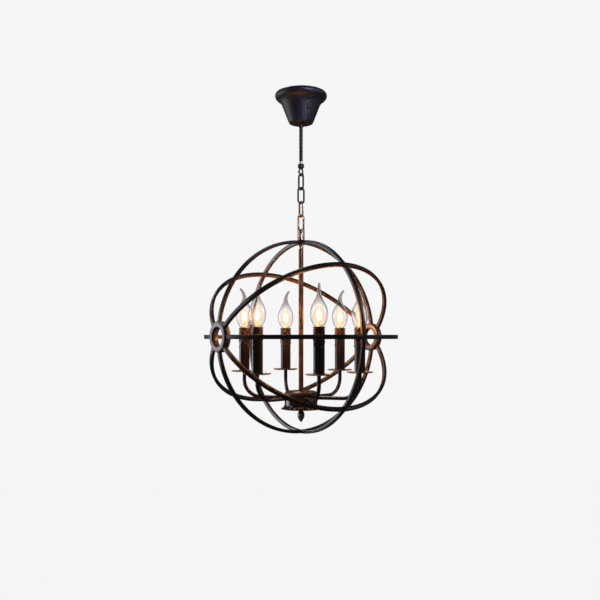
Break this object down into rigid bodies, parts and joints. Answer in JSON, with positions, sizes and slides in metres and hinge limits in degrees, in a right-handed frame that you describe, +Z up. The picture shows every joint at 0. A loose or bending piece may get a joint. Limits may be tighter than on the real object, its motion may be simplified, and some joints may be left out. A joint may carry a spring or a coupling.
{
  "type": "orb chandelier",
  "caption": "Sphere of iron hoops on a chain and ceiling canopy, with a stem, drum and curved arms that carry candle sleeves and bent-tip bulbs.",
  "frame": {"origin": "midway between the two screw slots of the ceiling bracket, in the plane of the ceiling", "axes": "+Z up to the ceiling, with the fixture hanging down from the origin; X along the line of the two hub rings and of the bracket's slots; Y completes the right-handed set"},
  "size_m": [0.4, 0.4, 0.7059],
  "materials": {
    "zinc_steel": "zinc plated, satin",
    "bare_nipple": "bare turned metal, pinkish grey",
    "terminal_white": "moulded, matt",
    "satin_black": "satin black lacquer",
    "antique_brass": "antiqued brass, brown in the hollows",
    "bright_brass": "pale satin brass",
    "forged_bronze": "dark oil-rubbed bronze paint on iron, worn grey on the edges",
    "brown_bronze": "warm brown bronze paint, satin",
    "candle_black": "glossy black-brown with wax drips",
    "holder_black": "ribbed, glossy black-brown",
    "bulb_glass": "clear glass, lit from inside"
  },
  "bodies": {
    "ceiling_mount": {"ceiling_bracket": "zinc_steel", "bracket_nuts": "zinc_steel", "terminal_block": "terminal_white", "drop_rod": "satin_black", "rod_nipple": "bare_nipple", "eye_loop": "satin_black", "eye_screw": "satin_black"},
    "canopy": {"canopy_cup": "satin_black", "canopy_collar": "satin_black", "collar_screw": "zinc_steel"},
    "link_1": {"chain_link_1": "satin_black"},
    "link_2": {"chain_link_2": "satin_black"},
    "link_3": {"chain_link_3": "antique_brass"},
    "orb": {"hang_loop": "antique_brass", "top_nipple": "zinc_steel", "top_boss": "forged_bronze", "stem_spacer": "bright_brass", "stem_tube": "brown_bronze", "meridian_band": "forged_bronze", "cross_band": "forged_bronze", "equator_band": "forged_bronze", "tilted_band_a": "forged_bronze", "tilted_band_b": "forged_bronze", "left_hub_ring": "forged_bronze", "right_hub_ring": "forged_bronze", "arm_drum": "brown_bronze", "drum_lid": "brown_bronze", "drum_dish": "brown_bronze", "tie_rod": "zinc_steel", "finial": "antique_brass", "arm_1": "brown_bronze", "arm_2": "brown_bronze", "arm_3": "brown_bronze", "arm_4": "brown_bronze", "arm_5": "brown_bronze", "arm_6": "brown_bronze", "drip_pan_1": "antique_brass", "drip_pan_2": "antique_brass", "drip_pan_3": "antique_brass", "drip_pan_4": "antique_brass", "drip_pan_5": "antique_brass", "drip_pan_6": "antique_brass", "candle_sleeve_1": "candle_black", "candle_sleeve_2": "candle_black", "candle_sleeve_3": "candle_black", "candle_sleeve_4": "candle_black", "candle_sleeve_5": "candle_black", "candle_sleeve_6": "candle_black", "lampholder_1": "holder_black", "lampholder_2": "holder_black", "lampholder_3": "holder_black", "lampholder_4": "holder_black", "lampholder_5": "holder_black", "lampholder_6": "holder_black"},
    "bulb_1": {"bulb_1": "bulb_glass"},
    "bulb_2": {"bulb_2": "bulb_glass"},
    "bulb_3": {"bulb_3": "bulb_glass"},
    "bulb_4": {"bulb_4": "bulb_glass"},
    "bulb_5": {"bulb_5": "bulb_glass"},
    "bulb_6": {"bulb_6": "bulb_glass"}
  },
  "joints": [
    {"name": "canopy_slide", "type": "slide", "parent": "ceiling_mount", "child": "canopy", "axis": [0, 0, -1], "range_m": [0, 0.07]},
    {"name": "chain_hinge_1", "type": "hinge", "parent": "ceiling_mount", "child": "link_1", "pos_m": [0, 0, -0.1709], "axis": [1, 0, 0], "range_deg": [-30, 30]},
    {"name": "chain_hinge_2", "type": "hinge", "parent": "link_1", "child": "link_2", "pos_m": [0, 0, -0.1999], "axis": [-0.0872, 0.9962, 0], "range_deg": [-30, 30]},
    {"name": "chain_hinge_3", "type": "hinge", "parent": "link_2", "child": "link_3", "pos_m": [0, 0, -0.2286], "axis": [-0.9925, 0.1219, 0], "range_deg": [-30, 30]},
    {"name": "chain_hinge_4", "type": "hinge", "parent": "link_3", "child": "orb", "pos_m": [0, 0, -0.2573], "axis": [0.1219, 0.9925, 0], "range_deg": [-30, 30]},
    {"name": "bulb_turn_1", "type": "hinge", "parent": "orb", "child": "bulb_1", "pos_m": [0.12172, 0.02146, -0.4859], "axis": [0, 0, 1], "continuous": true},
    {"name": "bulb_turn_2", "type": "hinge", "parent": "orb", "child": "bulb_2", "pos_m": [0.04227, 0.11615, -0.4859], "axis": [0, 0, 1], "continuous": true},
    {"name": "bulb_turn_3", "type": "hinge", "parent": "orb", "child": "bulb_3", "pos_m": [-0.07945, 0.09468, -0.4859], "axis": [0, 0, 1], "continuous": true},
    {"name": "bulb_turn_4", "type": "hinge", "parent": "orb", "child": "bulb_4", "pos_m": [-0.12172, -0.02146, -0.4859], "axis": [0, 0, 1], "continuous": true},
    {"name": "bulb_turn_5", "type": "hinge", "parent": "orb", "child": "bulb_5", "pos_m": [-0.04227, -0.11615, -0.4859], "axis": [0, 0, 1], "continuous": true},
    {"name": "bulb_turn_6", "type": "hinge", "parent": "orb", "child": "bulb_6", "pos_m": [0.07945, -0.09468, -0.4859], "axis": [0, 0, 1], "continuous": true}
  ]
}
